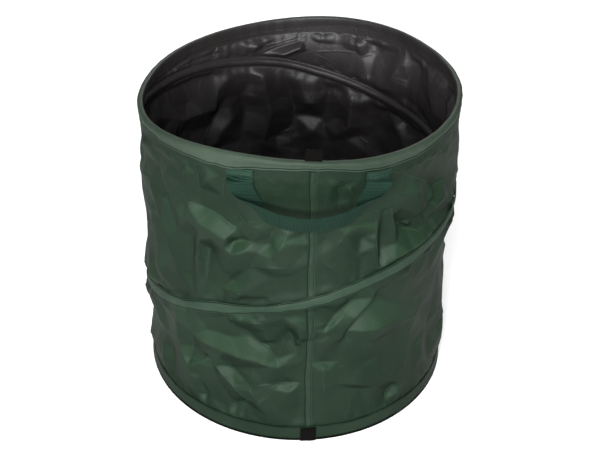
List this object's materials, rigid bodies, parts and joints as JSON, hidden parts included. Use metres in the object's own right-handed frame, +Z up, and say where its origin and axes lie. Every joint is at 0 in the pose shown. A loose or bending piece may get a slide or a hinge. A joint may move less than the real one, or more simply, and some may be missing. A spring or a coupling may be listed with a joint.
{
  "type": "pop up leaf bag",
  "caption": "Open-topped cloth cylinder bag held up by a spiral steel spring, with webbing carrying handles, a closing loop and a base tab.",
  "frame": {"origin": "middle of the underside, on the floor that the bag stands on", "axes": "+Z up along the bag's axis, -Y towards the front handle and the closing line, +X to the right seen from the front"},
  "size_m": [0.563, 0.6282, 0.5763],
  "materials": {
    "green_cloth": "coated woven polyester, dark green outside with a soft sheen, creased",
    "hem_cloth": "coated woven polyester, lighter grey green, stitched",
    "black_cloth": "black inner face of the cloth, soft sheen",
    "green_webbing": "ribbed dark green webbing, matt",
    "black_webbing": "black webbing, matt",
    "steel": "drawn spring wire and crimped sleeves, bare"
  },
  "bodies": {
    "base": {"base_panel": "green_cloth", "base_hem": "green_cloth", "base_binding": "black_webbing", "base_hoop": "steel", "base_ferrule": "steel", "base_tab": "black_webbing", "bag_wall": "green_cloth", "spiral_casing": "green_cloth", "spiral_sleeve": "black_cloth", "spiral_wire": "steel", "side_seam_upper": "green_cloth", "side_seam_lower": "green_cloth"},
    "rim": {"rim_hem": "hem_cloth", "rim_hoop": "steel", "rim_ferrule": "steel", "handle_end_front_left": "green_webbing", "handle_end_front_right": "green_webbing", "handle_end_back_left": "green_webbing", "handle_end_back_right": "green_webbing"},
    "front_handle": {"handle_front": "green_webbing"},
    "back_handle": {"handle_back": "green_webbing"},
    "closing_loop": {"rim_loop": "black_webbing"}
  },
  "joints": [
    {"name": "collapse", "type": "slide", "parent": "base", "child": "rim", "axis": [0, 0, -1], "range_m": [0, 0.5], "stiffness_N_per_m": 40, "springref_m": -0.15, "deforming": ["bag_wall", "spiral_casing", "spiral_sleeve", "spiral_wire", "side_seam_upper", "side_seam_lower"]},
    {"name": "handle_front_swing", "type": "hinge", "parent": "rim", "child": "front_handle", "pos_m": [0.0062, -0.2688, 0.5214], "axis": [-0.9997, -0.0231, 0], "range_deg": [0, 140]},
    {"name": "handle_back_swing", "type": "hinge", "parent": "rim", "child": "back_handle", "pos_m": [-0.0062, 0.2688, 0.5214], "axis": [0.9997, 0.0231, 0], "range_deg": [0, 140]},
    {"name": "rim_loop_fold", "type": "hinge", "parent": "rim", "child": "closing_loop", "pos_m": [0.009, -0.2726, 0.5567], "axis": [1, 0, 0], "range_deg": [-90, 70]}
  ]
}
